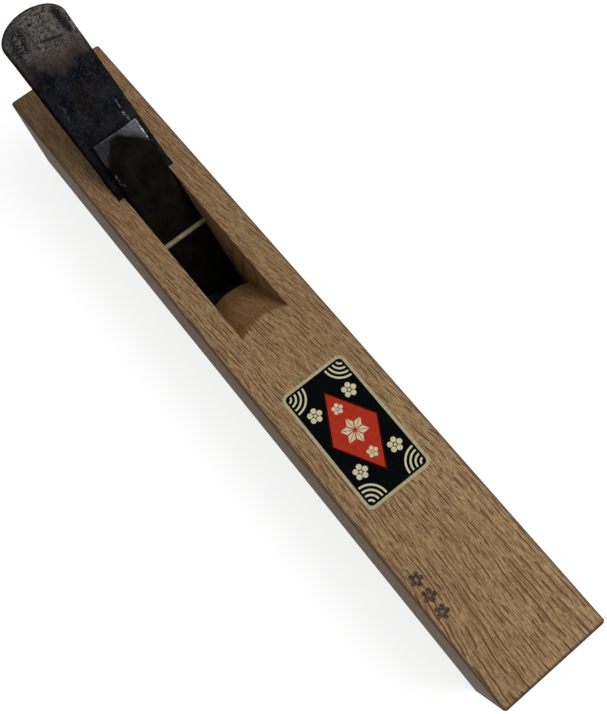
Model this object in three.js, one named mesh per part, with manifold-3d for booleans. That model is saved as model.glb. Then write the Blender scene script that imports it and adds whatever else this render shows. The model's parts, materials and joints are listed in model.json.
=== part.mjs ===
// A Japanese hand plane (kanna) with a narrow blade, in millimetres, +Z up.
// The origin is the centre of the sole, +X points to the toe and +Y to the plane's left.
import * as THREE from 'three';
import { mergeVertices } from 'three/addons/utils/BufferGeometryUtils.js';
import Module from 'manifold-3d';

const wasm = await Module();
wasm.setup();

// Stock, one billet of oak
const stockLength = 200;
const stockWidth = 30;
const stockHeight = 30;
const arris = 0.5;

// Opening in the stock, seen from above
const throatWidth = 14.6;
const throatTopFromHeel = 97.6;
const throatTopCrown = 1.9;
const throatStations = 24;

// Mouth and front ramp
const mouthFromHeel = 79.1;
const mouthGap = 1;
const rampFootHeight = 12.3;
const rampFootCrown = 3.9;
const noseEase = 0.9;

// Bed and side grooves that hold the blade
const bedAngle = THREE.MathUtils.degToRad(41.5);
const seatGap = 0.3;
const grooveSideGap = 0.3;
const grooveFaceGap = 0.45;
const overrun = 5;

// Blade, a wedge in side view, set with its bevel down
const bladeLength = 92.6;
const bladeWidth = 17.5;
const bladeEdgeThickness = 4.1;
const bladeHeadThickness = 4.9;
const bladeBevelAngle = THREE.MathUtils.degToRad(28);
const bladeNeckFromEdge = 47;
const bladeHeadRound = 4.9;
const bladeHeadLean = 1.6;
const bladeHeadFlare = 0.2;
const bladeEdgeLift = 0.3;
const headArcSteps = 28;

// Hard steel forge-welded under the face of the blade
const edgeSteelLength = 40;
const edgeSteelThickness = 1.1;
const weldSeam = 0.25;
const edgeHollowDepth = 0.35;
const edgeHollowRim = 2.4;
const edgeHollowLength = 30;
const edgeHollowLand = 1.6;

// Chipbreaker, a thin plate on the face of the blade
const chipLength = 58.2;
const chipWidth = 13.6;
const chipThickness = 1.9;
const chipSetBack = 0.8;
const chipFaceGap = 0.3;
const chipHeadLift = 0.8;
const chipBevelLength = 6.5;
const chipLip = 0.35;
const chipEarAcross = 4.9;
const chipEarAlong = 5.3;
const chipEarBend = 0.65;

// Hard steel forge-welded under the chipbreaker
const chipSteelLength = 22;
const chipSteelThickness = 0.6;

// Pin across the throat
const pinDiameter = 1.4;
const pinFromEdge = 27.2;
const pinPressGap = 0.3;
const pinHoleGap = 0.2;
const pinBlindDepth = 4.5;
const pinSetIn = 0.4;
const pinSides = 16;

// Paper label
const labelLength = 34.6;
const labelWidth = 19.1;
const labelThickness = 0.15;
const labelCorner = 1.8;
const labelFromHeel = 132.5;
const labelAside = 0.3;
const labelTurn = THREE.MathUtils.degToRad(-0.6);

// A place measured from the heel end, on the X axis
const fromHeel = (distance) => distance - stockLength / 2;

// The bed frame has its origin under the cutting edge, X down the slope, Z square to the bed.
// The face frame lies on the blade's face, with its origin at the cutting edge.
const wedgeAngle = Math.atan2(bladeHeadThickness - bladeEdgeThickness, bladeLength);
const faceAngle = bedAngle + wedgeAngle;
const edgeX = fromHeel(mouthFromHeel) - mouthGap - bladeEdgeLift / Math.tan(faceAngle);
const bedGroup = new THREE.Group();
bedGroup.rotation.y = bedAngle;
bedGroup.position.set(
  edgeX - bladeEdgeThickness * Math.sin(bedAngle),
  0,
  bladeEdgeLift - bladeEdgeThickness * Math.cos(bedAngle),
);
const faceGroup = new THREE.Group();
faceGroup.rotation.y = wedgeAngle;
faceGroup.position.z = bladeEdgeThickness;
bedGroup.add(faceGroup);
bedGroup.updateMatrixWorld(true);

// Solids and booleans

const toManifold = (geometry) => {
  const bare = geometry.index ? geometry.toNonIndexed() : geometry.clone();
  bare.deleteAttribute('normal');
  bare.deleteAttribute('uv');
  const merged = mergeVertices(bare);
  return new wasm.Manifold(new wasm.Mesh({
    numProp: 3,
    vertProperties: new Float32Array(merged.attributes.position.array),
    triVerts: new Uint32Array(merged.index.array),
  }));
};

const toGeometry = (solid) => {
  const mesh = solid.getMesh();
  const geometry = new THREE.BufferGeometry();
  geometry.setAttribute('position', new THREE.BufferAttribute(mesh.vertProperties, 3));
  geometry.setIndex(new THREE.BufferAttribute(mesh.triVerts, 1));
  geometry.computeVertexNormals();
  return geometry;
};

// Outline points [x, z] in side view, extruded across the plane, centred on Y
const sidePrism = (points, width) => {
  const shape = new THREE.Shape(points.map(([x, z]) => new THREE.Vector2(x, z)));
  const prism = new THREE.ExtrudeGeometry(shape, { depth: width, bevelEnabled: false });
  prism.translate(0, 0, -width / 2);
  return prism.rotateX(Math.PI / 2);
};

// Outline points [x, y] in plan, extruded upwards from a level
const planPrism = (points, level, height) => {
  const shape = new THREE.Shape(points.map(([x, y]) => new THREE.Vector2(x, y)));
  const prism = new THREE.ExtrudeGeometry(shape, { depth: height, bevelEnabled: false });
  return prism.translate(0, 0, level);
};

// Closed solid through side outlines with equal numbers of points, one at each y
const loftAcross = (sections) => {
  const count = sections[0].points.length;
  const positions = sections.flatMap(({ y, points }) => points.flatMap(([x, z]) => [x, y, z]));
  const index = [];
  for (let s = 0; s + 1 < sections.length; s += 1) {
    for (let k = 0; k < count; k += 1) {
      const a = s * count + k;
      const b = s * count + (k + 1) % count;
      index.push(a, a + count, b, b, a + count, b + count);
    }
  }
  const last = (sections.length - 1) * count;
  const capOf = ({ points }) => THREE.ShapeUtils.triangulateShape(
    points.map(([x, z]) => new THREE.Vector2(x, z)), []);
  capOf(sections[0]).forEach(([a, b, c]) => index.push(a, b, c));
  capOf(sections.at(-1)).forEach(([a, b, c]) => index.push(last + a, last + c, last + b));
  const geometry = new THREE.BufferGeometry();
  geometry.setAttribute('position', new THREE.Float32BufferAttribute(positions, 3));
  geometry.setIndex(index);
  return geometry;
};

// Flat-sided plate: plan points with a top and a bottom height each, and facets between them
const facetPlate = (points, facets, rim) => {
  const positions = [
    ...points.flatMap(({ x, y, top }) => [x, y, top]),
    ...points.flatMap(({ x, y, bottom }) => [x, y, bottom]),
  ];
  const under = points.length;
  const index = [];
  facets.forEach(([a, b, c]) => {
    index.push(a, b, c, under + a, under + c, under + b);
  });
  rim.forEach((a, k) => {
    const b = rim[(k + 1) % rim.length];
    index.push(a, under + a, b, b, under + a, under + b);
  });
  const geometry = new THREE.BufferGeometry();
  geometry.setAttribute('position', new THREE.Float32BufferAttribute(positions, 3));
  geometry.setIndex(index);
  return geometry;
};

const part = (name, geometry, material) => {
  const mesh = new THREE.Mesh(geometry, material);
  mesh.name = name;
  return mesh;
};

// Materials

const oak = new THREE.MeshStandardMaterial({ color: '#96795a', roughness: 0.72, metalness: 0 });
const forgedIron = new THREE.MeshStandardMaterial({ color: '#26262b', roughness: 0.6, metalness: 0.7 });
const groundSteel = new THREE.MeshStandardMaterial({ color: '#8e9092', roughness: 0.35, metalness: 1 });
const blackIron = new THREE.MeshStandardMaterial({ color: '#1b1a18', roughness: 0.55, metalness: 0.6 });
const pinSteel = new THREE.MeshStandardMaterial({ color: '#9a8f7c', roughness: 0.45, metalness: 0.9 });
const paper = new THREE.MeshStandardMaterial({ color: '#1a1a1c', roughness: 0.6, metalness: 0 });

// Blade

const halfBlade = bladeWidth / 2;

const bladeProfile = [
  [0, bladeEdgeThickness],
  [-bladeLength, bladeHeadThickness],
  [-bladeLength, 0],
  [-bladeEdgeThickness / Math.tan(bladeBevelAngle), 0],
];

// The head is half an ellipse, and the neck leans a little to one side, as hand forging leaves it
const bladeOutline = () => {
  const headHalf = halfBlade + bladeHeadFlare;
  const shoulder = bladeHeadRound - bladeLength;
  const outline = [[0, halfBlade], [-bladeNeckFromEdge, halfBlade]];
  for (let k = 0; k <= headArcSteps; k += 1) {
    const turn = Math.PI * (k / headArcSteps);
    outline.push([
      shoulder - bladeHeadRound * Math.sin(turn),
      headHalf * Math.cos(turn) - bladeHeadLean,
    ]);
  }
  outline.push([-bladeNeckFromEdge, -halfBlade], [0, -halfBlade]);
  return outline;
};

const blade = () => toManifold(sidePrism(bladeProfile, bladeWidth + 2 * overrun))
  .intersect(toManifold(planPrism(bladeOutline(), -overrun, bladeHeadThickness + 2 * overrun)));

// Side outline of a layer of one thickness under the blade's face, up to a length from the edge
const faceLayer = (thickness, length) => {
  const drop = (bladeHeadThickness - bladeEdgeThickness) / bladeLength;
  const face = (along) => bladeEdgeThickness + drop * along;
  return [
    [overrun, face(-overrun) - thickness],
    [overrun, face(-overrun) + overrun],
    [-length, face(length) + overrun],
    [-length, face(length) - thickness],
  ];
};

// The hollow ground into the hard steel leaves a land at the edge and a rim at each side
const hollow = () => {
  const half = halfBlade - edgeHollowRim;
  const outline = [[-edgeHollowLand, half], [-edgeHollowLength, half]];
  for (let k = 1; k < headArcSteps; k += 1) {
    const turn = Math.PI * (k / headArcSteps);
    outline.push([-edgeHollowLength - edgeHollowRim * Math.sin(turn), half * Math.cos(turn)]);
  }
  outline.push([-edgeHollowLength, -half], [-edgeHollowLand, -half]);
  const side = toManifold(sidePrism(faceLayer(edgeHollowDepth, edgeSteelLength), bladeWidth));
  return side.intersect(toManifold(planPrism(outline, 0, bladeHeadThickness + overrun)));
};

const wideLayer = (thickness, length) => toManifold(
  sidePrism(faceLayer(thickness, length), bladeWidth + 2 * overrun));

const bladeEdgeSteel = () => part('blade_edge_steel', toGeometry(
  blade().intersect(wideLayer(edgeSteelThickness, edgeSteelLength)).subtract(hollow()),
), groundSteel);

const bladeBody = () => part('blade_body', toGeometry(
  blade().subtract(wideLayer(edgeSteelThickness + weldSeam, edgeSteelLength + weldSeam)),
), forgedIron);

// Chipbreaker, in the face frame

const chipLift = (along) => chipFaceGap + chipHeadLift * (along / chipLength);

const chipbreakerGeometry = () => {
  const half = chipWidth / 2;
  const at = (along, y, dip = 0, thickness = chipThickness) => ({
    x: -chipSetBack - along,
    y,
    bottom: chipLift(along) - dip,
    top: chipLift(along) - dip + thickness,
  });
  const earStart = chipLength - chipEarAlong;
  const points = [
    at(0, -half, 0, chipLip),
    at(0, half, 0, chipLip),
    at(chipBevelLength, -half),
    at(chipBevelLength, half),
    at(earStart, -half),
    at(earStart, half),
    at(chipLength, -half, chipEarBend),
    at(chipLength, half, chipEarBend),
    at(chipLength, chipEarAcross - half),
    at(chipLength, half - chipEarAcross),
  ];
  const facets = [
    [0, 1, 3], [0, 3, 2],
    [2, 3, 5], [2, 5, 4],
    [4, 5, 9], [4, 9, 8],
    [4, 8, 6], [5, 7, 9],
  ];
  const rim = [0, 1, 3, 5, 7, 9, 8, 6, 4, 2];
  return facetPlate(points, facets, rim);
};

const chipSteelCutter = (extra) => {
  const top = (along) => chipLift(along) + chipSteelThickness + extra;
  const points = [
    [overrun, -overrun],
    [overrun, top(-overrun)],
    [-chipSetBack - chipSteelLength - extra, top(chipSteelLength)],
    [-chipSetBack - chipSteelLength - extra, -overrun],
  ];
  return toManifold(sidePrism(points, chipWidth + 2 * overrun));
};

const chipbreakerBody = () => part('chipbreaker_body', toGeometry(
  toManifold(chipbreakerGeometry()).subtract(chipSteelCutter(weldSeam)),
), blackIron);

const chipbreakerEdgeSteel = () => part('chipbreaker_edge_steel', toGeometry(
  toManifold(chipbreakerGeometry()).intersect(chipSteelCutter(0)),
), groundSteel);

// Pin, above the chipbreaker

const pinPlace = () => {
  const along = pinFromEdge - chipSetBack;
  const rise = chipLift(along) + chipThickness + pinPressGap + pinDiameter / 2;
  return new THREE.Vector3(-pinFromEdge, 0, rise).applyMatrix4(faceGroup.matrixWorld);
};

const pinReach = () => {
  const outer = stockWidth / 2 - pinSetIn;
  const inner = -throatWidth / 2 - pinBlindDepth;
  return { length: outer - inner, middle: (outer + inner) / 2 };
};

const chipbreakerPin = () => {
  const { length, middle } = pinReach();
  const pin = part('chipbreaker_pin',
    new THREE.CylinderGeometry(pinDiameter / 2, pinDiameter / 2, length, pinSides), pinSteel);
  pin.position.copy(pinPlace());
  pin.position.y = middle;
  return pin;
};

// Stock

const billet = () => {
  const halfWidth = stockWidth / 2;
  const shape = new THREE.Shape([
    [arris - halfWidth, 0], [halfWidth - arris, 0], [halfWidth, arris],
    [halfWidth, stockHeight - arris], [halfWidth - arris, stockHeight],
    [arris - halfWidth, stockHeight], [-halfWidth, stockHeight - arris], [-halfWidth, arris],
  ].map(([y, z]) => new THREE.Vector2(y, z)));
  const block = new THREE.ExtrudeGeometry(shape, {
    depth: stockLength - 2 * arris,
    bevelThickness: arris,
    bevelSize: arris,
    bevelOffset: -arris,
    bevelSegments: 1,
  });
  const along = new THREE.Matrix4().makeBasis(
    new THREE.Vector3(0, 1, 0), new THREE.Vector3(0, 0, 1), new THREE.Vector3(1, 0, 0));
  return block.applyMatrix4(along).translate(arris - stockLength / 2, 0, 0);
};

// The slot holds the blade between the bed and the upper faces of the side grooves
const bladeSlot = () => {
  const reach = bladeLength + overrun;
  const drop = (bladeHeadThickness - bladeEdgeThickness) / bladeLength;
  const upper = bladeEdgeThickness + grooveFaceGap;
  const slot = sidePrism([
    [reach, -seatGap],
    [reach, upper - drop * reach],
    [-reach, upper + drop * reach],
    [-reach, -seatGap],
  ], bladeWidth + 2 * grooveSideGap);
  return toManifold(slot.applyMatrix4(bedGroup.matrixWorld));
};

// The throat opens from the bed to a crowned ramp, above a straight mouth
const throat = () => {
  const mouthX = fromHeel(mouthFromHeel);
  const above = stockHeight + overrun;
  const bedX = (z) => bedGroup.position.x - (z - bedGroup.position.z) / Math.tan(bedAngle);
  const sections = [];
  for (let k = 0; k <= throatStations; k += 1) {
    const y = throatWidth * (k / throatStations) - throatWidth / 2;
    const crown = 1 - (2 * y / throatWidth) ** 2;
    const topX = fromHeel(throatTopFromHeel) - throatTopCrown * crown;
    const footZ = rampFootHeight + rampFootCrown * crown;
    const slope = (stockHeight - footZ) / (topX - mouthX);
    sections.push({
      y,
      points: [
        [bedX(-overrun), -overrun],
        [mouthX, -overrun],
        [mouthX, footZ - noseEase],
        [mouthX + noseEase, footZ + slope * noseEase],
        [topX, stockHeight],
        [topX, above],
        [bedX(above), above],
      ],
    });
  }
  return toManifold(loftAcross(sections));
};

const pinHole = () => {
  const { length, middle } = pinReach();
  const radius = pinDiameter / 2 + pinHoleGap;
  const run = length + pinHoleGap + pinSetIn + overrun;
  const hole = new THREE.CylinderGeometry(radius, radius, run, pinSides);
  const place = pinPlace();
  const outerEnd = middle + length / 2 + pinSetIn + overrun;
  hole.translate(place.x, outerEnd - run / 2, place.z);
  return toManifold(hole);
};

const dai = () => part('dai', toGeometry(
  toManifold(billet()).subtract(bladeSlot()).subtract(throat()).subtract(pinHole()),
), oak);

// Label, stuck to the top face a touch askew

const paperLabel = () => {
  const halfLength = labelLength / 2;
  const halfWidth = labelWidth / 2;
  const shape = new THREE.Shape();
  shape.moveTo(labelCorner - halfLength, -halfWidth);
  shape.lineTo(halfLength - labelCorner, -halfWidth);
  shape.absarc(halfLength - labelCorner, labelCorner - halfWidth, labelCorner, -Math.PI / 2, 0);
  shape.absarc(halfLength - labelCorner, halfWidth - labelCorner, labelCorner, 0, Math.PI / 2);
  shape.absarc(labelCorner - halfLength, halfWidth - labelCorner, labelCorner, Math.PI / 2, Math.PI);
  shape.absarc(labelCorner - halfLength, labelCorner - halfWidth, labelCorner, Math.PI, 1.5 * Math.PI);
  const sheet = new THREE.ExtrudeGeometry(shape, {
    depth: labelThickness, bevelEnabled: false, curveSegments: 6,
  });
  const label = part('paper_label', sheet, paper);
  label.position.set(fromHeel(labelFromHeel), -labelAside, stockHeight);
  label.rotation.z = labelTurn;
  return label;
};

// Assembly

faceGroup.add(chipbreakerBody(), chipbreakerEdgeSteel());
bedGroup.add(bladeBody(), bladeEdgeSteel());

const group = new THREE.Group();
group.add(dai(), chipbreakerPin(), paperLabel(), bedGroup);

export default group;
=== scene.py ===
# %% [markdown]
# A narrow Japanese hand plane, seen from above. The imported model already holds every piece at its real
# size and place, so this lesson moves none of them. It dresses a copy of each in the surface that planing,
# forging, grinding or printing left on it, then sets up the floor, the light and the camera. Everything is
# in metres, with the origin at the centre of the sole, +X towards the toe and +Z up.

import json
import math
from functools import partial

import bmesh
import bpy
from mathutils import Matrix, Quaternion, Vector, noise


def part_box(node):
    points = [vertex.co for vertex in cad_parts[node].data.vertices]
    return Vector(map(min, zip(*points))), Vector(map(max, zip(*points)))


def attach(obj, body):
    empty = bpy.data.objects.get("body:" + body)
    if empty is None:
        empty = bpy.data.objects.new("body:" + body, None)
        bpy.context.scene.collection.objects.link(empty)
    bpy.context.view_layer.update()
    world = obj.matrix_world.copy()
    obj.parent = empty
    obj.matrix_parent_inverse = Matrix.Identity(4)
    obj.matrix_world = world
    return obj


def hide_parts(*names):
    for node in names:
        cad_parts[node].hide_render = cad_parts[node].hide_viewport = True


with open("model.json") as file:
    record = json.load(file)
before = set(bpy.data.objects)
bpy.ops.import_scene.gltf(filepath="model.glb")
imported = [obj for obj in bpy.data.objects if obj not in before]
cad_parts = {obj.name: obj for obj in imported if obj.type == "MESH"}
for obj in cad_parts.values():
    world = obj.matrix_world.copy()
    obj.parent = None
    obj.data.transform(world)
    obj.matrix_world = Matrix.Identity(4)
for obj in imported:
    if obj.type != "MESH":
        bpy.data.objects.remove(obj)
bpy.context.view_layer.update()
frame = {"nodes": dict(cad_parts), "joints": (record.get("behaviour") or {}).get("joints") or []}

# %% [markdown]
# Sizes here are written in millimetres, as a maker would measure them, and one factor turns them into
# metres. Sizes that the model already has are read from its boxes and joints, so they never disagree. The
# chipbreaker slides up the face of the blade, so the axis of that joint is the slope of both irons.

# %% Sizes that come from the frame
MM = 0.001
stock_low, stock_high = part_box("dai")
label_low, label_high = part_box("paper_label")
pin_low, pin_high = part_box("chipbreaker_pin")
edge_low, edge_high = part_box("blade_edge_steel")
chip_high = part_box("chipbreaker_body")[1]
slides = {joint["name"]: Vector(joint["axis"]).normalized() for joint in frame["joints"]}
face_slope = slides["chipbreaker_slide"]
plate_up = face_slope.cross(Vector((0, -1, 0))).normalized()
cutting_edge = Vector((edge_high.x, 0, edge_low.z))
print("stock:", [round((high - low) / MM, 1) for low, high in zip(stock_low, stock_high)])
print("slope of the blade's face:", round(math.degrees(math.asin(face_slope.z)), 2), "degrees")

# %% [markdown]
# The camera stands 204 mm above the table, level with the toe end of the label and just outside the near
# side of the stock. It looks down along the stock with a slight roll. A 37 mm lens this close gives the
# strong convergence of a picture taken by hand. The small shift places the object in the frame.

# %% Camera
CAMERA_PLACE = Vector((53.5, -28.8, 204.2)) * MM
CAMERA_AIM = Vector((8.86, -4.24, 30.0)) * MM
CAMERA_ROLL = math.radians(-10.09)
CAMERA_LENS_MM, SENSOR_WIDTH_MM = 37.05, 36
CAMERA_SHIFT = (0.0319, 0.0138)
NEAREST_SEEN = 10 * MM


def placed(name, data):
    """A new object in the scene."""
    made = bpy.data.objects.new(name, data)
    bpy.context.scene.collection.objects.link(made)
    return made


camera = placed("camera", bpy.data.cameras.new("camera"))
bpy.context.scene.camera = camera
camera.data.sensor_width = SENSOR_WIDTH_MM
camera.data.lens = CAMERA_LENS_MM
camera.data.shift_x, camera.data.shift_y = CAMERA_SHIFT
camera.data.clip_start = NEAREST_SEEN
camera.location = CAMERA_PLACE
camera.rotation_mode = "QUATERNION"
looking = (CAMERA_AIM - CAMERA_PLACE).to_track_quat("-Z", "Y")
camera.rotation_quaternion = looking @ Quaternion((0, 0, 1), CAMERA_ROLL)
print("camera to stock:", round((CAMERA_PLACE - CAMERA_AIM).length / MM), "mm")

# %% [markdown]
# Colours are chosen as sRGB hex values, the way a paint chart gives them, and one function turns them
# into the linear values that shaders work with. Another adds a shader node, sets it and links it. Each
# new material hands it back as `node`, so what follows reads as a short list of steps. A Mix node keeps
# the two colours that it mixes in its sockets 6 and 7. Where colours lie over one another, a list of
# shares and colours goes through one loop, from the lowest layer to the top one.

# %% Helpers for colours and nodes
MIX_A, MIX_B = 6, 7


def linear(hex_colour):
    values = [int(hex_colour[i:i + 2], 16) / 255 for i in (1, 3, 5)]
    return (*[v / 12.92 if v <= 0.04045 else ((v + 0.055) / 1.055) ** 2.4 for v in values], 1.0)


def fill(target, inputs):
    """Sets or links sockets of a node. Another node as the value stands for its first output in use."""
    for socket, value in inputs.items():
        if isinstance(value, bpy.types.Node):
            value = next(output for output in value.outputs if output.enabled)
        if isinstance(value, bpy.types.NodeSocket):
            target.id_data.links.new(value, target.inputs[socket])
        else:
            target.inputs[socket].default_value = value
    return target


def add_node(tree, kind, *values, **settings):
    """Values go to the sockets in their order, or to those that a single dictionary names."""
    made = tree.nodes.new("ShaderNode" + kind)
    for name, value in settings.items():
        setattr(made, name, value)
    named = len(values) == 1 and isinstance(values[0], dict)
    return fill(made, values[0] if named else dict(enumerate(values)))


def new_material(name):
    """The material, a function that adds nodes to it, and its shader."""
    material = bpy.data.materials.new(name)
    material.use_nodes = True
    tree = material.node_tree
    return material, partial(add_node, tree), tree.nodes["Principled BSDF"]


print("mid grey #808080 is", round(linear("#808080")[0], 3), "in linear light")

# %% [markdown]
# Most of these surfaces are a noise, stretched to the real length and width of what it stands for. Where
# a surface runs between two tones, the noise also says how much of each is seen.

# %% Helpers for patterns
def per_mm(size):
    """Texture scale for a pattern that repeats about once in this size, in millimetres."""
    return 1 / (size * MM)


def stretched_noise(node, place, sizes, detail):
    """A noise whose blotches are about this long, wide and high, in millimetres."""
    stretched = node("Mapping", {"Vector": place, "Scale": [per_mm(size) for size in sizes]})
    return node("TexNoise", {"Vector": stretched, "Scale": 1.0, "Detail": detail})


def two_tone(node, pattern, low, high, first, second):
    """The first colour where a pattern is under the low value, and the second where it is over the high."""
    share = node("MapRange", {"Value": pattern, "From Min": low, "From Max": high})
    return node("Mix", {0: share, MIX_A: linear(first), MIX_B: linear(second)}, data_type="RGBA")


print("a pattern of 1 mm has scale", per_mm(1))

# %% [markdown]
# The stock is Japanese white oak, planed and left bare, so it looks straw brown and dull, with rows of
# dark dashes. The dashes are the wood's rays, thin upright sheets that the top face cuts across. The sides
# show them as flakes and the ends as fine upright lines, so one solid pattern, measured in the plank's own
# space, gives all three. A growing tree is never straight: a slow noise makes the grain wander, it fans
# out by a few degrees from one side of the plank to the other, and it swings to the side and back once.

# %% Oak: how the grain wanders
WANDER_SIZES, WANDER_REACH = (30, 21, 21), 4.6 * MM

oak, node, shader = new_material("planed_white_oak")
place = node("TexCoord").outputs["Object"]
place_xyz = node("SeparateXYZ", place)
wander = stretched_noise(node, place, WANDER_SIZES, 3.0)
centred = node("VectorMath", wander.outputs["Color"], (0.5, 0.5, 0.5), operation="SUBTRACT")
sideways = node("VectorMath", centred, (0.0, WANDER_REACH, WANDER_REACH), operation="MULTIPLY")
bent = node("VectorMath", place, sideways, operation="ADD")
print("one bend in the grain is about", WANDER_SIZES[0], "mm long")

# %% Oak: how the grain fans out and swings
FAN_NEAR_SIDE, FAN_FAR_SIDE = math.radians(0.5), math.radians(5.5)
SWING_LENGTH, SWING_CENTRE, SWING_REACH = 190 * MM, -25 * MM, 2.9 * MM

fan = node("MapRange", {
    "Value": place_xyz.outputs[1], "From Min": stock_low.y, "From Max": stock_high.y,
    "To Min": -math.tan(FAN_NEAR_SIDE), "To Max": -math.tan(FAN_FAR_SIDE)})
fanned = node("Math", fan, place_xyz.outputs[0], operation="MULTIPLY")
swing = node("Math", place_xyz.outputs[0], SWING_CENTRE, operation="SUBTRACT")
swing = node("Math", swing, 2 * math.pi / SWING_LENGTH, operation="MULTIPLY")
swing = node("Math", swing, operation="SINE")
swing = node("Math", swing, -SWING_REACH, fanned, operation="MULTIPLY_ADD")
grain_shift = node("CombineXYZ", {1: swing})
grain_place = node("VectorMath", bent, grain_shift, operation="ADD")
grain_xyz = node("SeparateXYZ", grain_place)
print("the grain swings", SWING_REACH / MM, "mm to each side")

# %% [markdown]
# Rows of rays are counted across the grain. Each row lies a little off the middle of its lane by chance of
# its own. A noise along the row switches its rays on and off, and the same noise swells and tapers each
# ray's thickness. Three sets of rows overlap, the fine ones weaker than the coarse ones.

# %% Helper for one set of rows of rays
RAY_HALF_THICKNESS, RAY_LENGTH, RAY_EDGE = 0.165 * MM, 5.4 * MM, 0.07 * MM
ROW_LANE_SHARE = (0.33, 0.67)
ROW_TO_ROW = 3.7


def ray_rows(node, grain_xyz, spacing, seed, strength):
    counted = node("Math", grain_xyz.outputs[1], spacing, operation="DIVIDE")
    counted = node("Math", counted, seed, operation="ADD")
    row = node("Math", counted, operation="FLOOR")
    chance = node("TexWhiteNoise", {"W": row}, noise_dimensions="1D")
    middle = node("MapRange", {"Value": chance, "To Min": ROW_LANE_SHARE[0], "To Max": ROW_LANE_SHARE[1]})
    within = node("Math", counted, operation="FRACT")
    off_row = node("Math", within, middle, operation="SUBTRACT")
    off_row = node("Math", off_row, operation="ABSOLUTE")
    off_row = node("Math", off_row, spacing, operation="MULTIPLY")
    step = node("Math", grain_xyz.outputs[0], RAY_LENGTH, operation="DIVIDE")
    apart = node("Math", row, ROW_TO_ROW, operation="MULTIPLY")
    row_place = node("CombineXYZ", step, apart)
    pulse = node("TexNoise", {"Vector": row_place, "Scale": 1.0, "Detail": 3.0}, noise_dimensions="2D")
    half = node("MapRange", {
        "Value": pulse, "From Min": 0.44, "From Max": 0.55, "To Max": RAY_HALF_THICKNESS})
    inside = node("Math", half, off_row, operation="SUBTRACT")
    return node("MapRange", {"Value": inside, "From Max": RAY_EDGE, "To Max": strength})


print("rays are up to", round(2 * RAY_HALF_THICKNESS / MM, 2), "mm thick")

# %% Oak: rows of rays
RAY_ROWS = [(1.1 * MM, 0.5, 1.0), (0.75 * MM, 43.5, 0.6), (0.45 * MM, 91.5, 0.4)]

coarse, middling, fine = [ray_rows(node, grain_xyz, *row) for row in RAY_ROWS]
rays = node("Math", coarse, middling, operation="MAXIMUM")
rays = node("Math", rays, fine, operation="MAXIMUM")
print("rows of rays per 10 mm:", [round(10 * MM / spacing, 1) for spacing, seed, strength in RAY_ROWS])

# %% [markdown]
# Between the rays lie fibres, open pores, growth rings and, on the sides, pale flecks, each with its own
# length along the grain. Real pores and fibres are finer than the render can show, so they are drawn about
# 0.2 mm wide.

# %% Oak: fibres, pores, growth rings and flecks
GRAIN_PATTERNS = {
    "fibre": ((2.0, 0.24, 0.24), 2.0),
    "pores": ((0.8, 0.2, 0.2), 1.0),
    "ring": ((45, 8, 2.6), 2.0),
    "fleck": ((5.5, 2, 1.1), 2.0),
}
PORE_SHARE = 0.4

grain = {name: stretched_noise(node, grain_place, *pattern) for name, pattern in GRAIN_PATTERNS.items()}
fibre = node("Mix", {0: PORE_SHARE, 2: grain["fibre"], 3: grain["pores"]})
print("oak has", len(oak.node_tree.nodes), "nodes so far")

# %% [markdown]
# Where hands, light or shavings have worked on the wood, its colour has changed. Those places are found
# from the distances to the three pairs of sides of the stock's box. A point near one pair lies on a side,
# an end or the top, and a point that is far from all three lies inside the throat.

# %% Oak: distances from the sides
def inward_from(node, half_size, coordinate):
    """How far inside a pair of sides a point lies, where they stand this far to either side of the middle."""
    outward = node("Math", coordinate, operation="ABSOLUTE")
    return node("Math", half_size, outward, operation="SUBTRACT")


away_x = inward_from(node, stock_high.x, place_xyz.outputs[0])
away_y = inward_from(node, stock_high.y, place_xyz.outputs[1])
away_top = node("Math", stock_high.z, place_xyz.outputs[2], operation="SUBTRACT")
away_z = node("Math", away_top, place_xyz.outputs[2], operation="MINIMUM")
deep = node("Math", away_x, away_y, operation="MINIMUM")
deep = node("Math", deep, away_z, operation="MINIMUM")
print("distances are measured inwards from", [round(side / MM, 1) for side in stock_high], "mm")

# %% Oak: which points lie on a side, on an end or in the throat
ON_FACE_START, ON_FACE_FULL = 0.45 * MM, 0.1 * MM
THROAT_START, THROAT_FULL = 0.25 * MM, 0.8 * MM
PALE_START, PALE_FULL = 2 * MM, 6.5 * MM

on_side = node("MapRange", {"Value": away_y, "From Min": ON_FACE_START, "From Max": ON_FACE_FULL})
on_end = node("MapRange", {
    "Value": away_x, "From Min": ON_FACE_START, "From Max": ON_FACE_FULL, "To Max": 0.6})
in_throat = node("MapRange", {"Value": deep, "From Min": THROAT_START, "From Max": THROAT_FULL})
down_throat = node("MapRange", {"Value": deep, "From Min": PALE_START, "From Max": PALE_FULL})
print("the throat's colour starts", THROAT_START / MM, "mm inside")

# %% [markdown]
# Clean oak runs from brown to straw with its fibres. Over it lie the darker growth rings, a deeper brown
# towards the heel, a grey painted shade on the sides, where less light falls, and the brown of the ends,
# which soak up more dirt. Then come the rays, dark on the top but weak on the sides and fainter in the
# throat, and the pale flecks, which only the sides show. In the throat all of it is multiplied by a cream
# that darkens the wood near the top and hardly at all further down, which paints light into the deeper
# throat against the shade that falls there.

# %% Oak: how strongly each colour covers
HEEL_START = 40 * MM

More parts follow.
